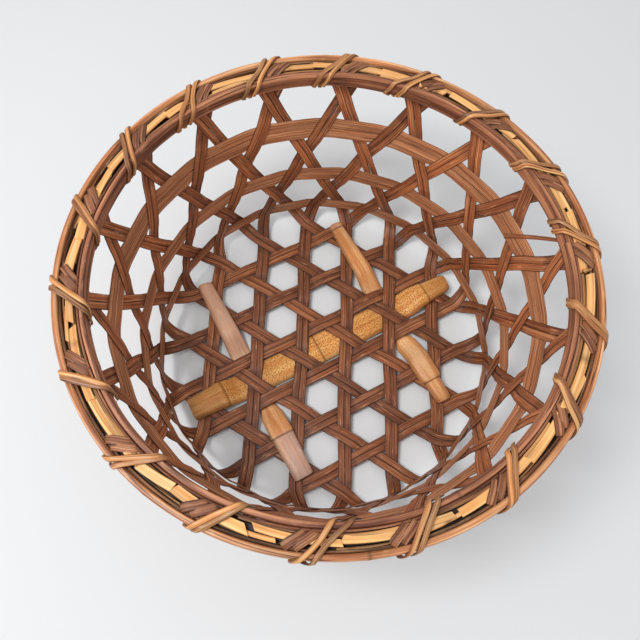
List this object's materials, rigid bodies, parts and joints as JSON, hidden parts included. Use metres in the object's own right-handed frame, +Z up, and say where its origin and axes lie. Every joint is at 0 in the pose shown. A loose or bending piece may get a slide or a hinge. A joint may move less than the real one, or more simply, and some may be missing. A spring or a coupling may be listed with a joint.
{
  "type": "bamboo basket",
  "caption": "Round open-weave bamboo basket with a flared wall, hexagonal weave, thick bound rim and staves threaded through the base.",
  "frame": {"origin": "centre of the footprint, on the surface that the basket stands on", "axes": "+Z up out of the basket's mouth; +Y along one of the three directions of bands in the base"},
  "size_m": [0.39, 0.391, 0.1847],
  "materials": {
    "weave": "satin",
    "hoop": "satin",
    "rim_outer": "satin",
    "rim_inner": "satin",
    "filler": "satin",
    "lashing": "satin",
    "stave": "satin"
  },
  "bodies": {
    "root": {"weave_a1": "weave", "weave_a2": "weave", "weave_a3": "weave", "weave_a4": "weave", "weave_a5": "weave", "weave_a6": "weave", "weave_b1": "weave", "weave_b2": "weave", "weave_b3": "weave", "weave_b4": "weave", "weave_b5": "weave", "weave_b6": "weave", "weave_c1": "weave", "weave_c2": "weave", "weave_c3": "weave", "weave_c4": "weave", "weave_c5": "weave", "weave_c6": "weave", "hoop_lower": "hoop", "hoop_middle": "hoop", "hoop_upper": "hoop", "rim_inner": "rim_inner", "rim_outer": "rim_outer", "rim_filler_1": "filler", "rim_filler_2": "filler", "rim_filler_3": "filler", "rim_filler_4": "filler", "rim_filler_5": "filler", "rim_filler_6": "filler", "rim_filler_7": "filler", "rim_filler_8": "filler", "rim_filler_9": "filler", "rim_lashing_01": "lashing", "rim_lashing_02": "lashing", "rim_lashing_03": "lashing", "rim_lashing_04": "lashing", "rim_lashing_05": "lashing", "rim_lashing_06": "lashing", "rim_lashing_07": "lashing", "rim_lashing_08": "lashing", "rim_lashing_09": "lashing", "rim_lashing_10": "lashing", "rim_lashing_11": "lashing", "rim_lashing_12": "lashing", "rim_lashing_13": "lashing", "rim_lashing_14": "lashing", "rim_lashing_15": "lashing", "rim_lashing_16": "lashing", "rim_lashing_17": "lashing", "rim_lashing_18": "lashing", "brace_long": "stave", "brace_cross_1": "stave", "brace_cross_2": "stave"}
  },
  "joints": []
}
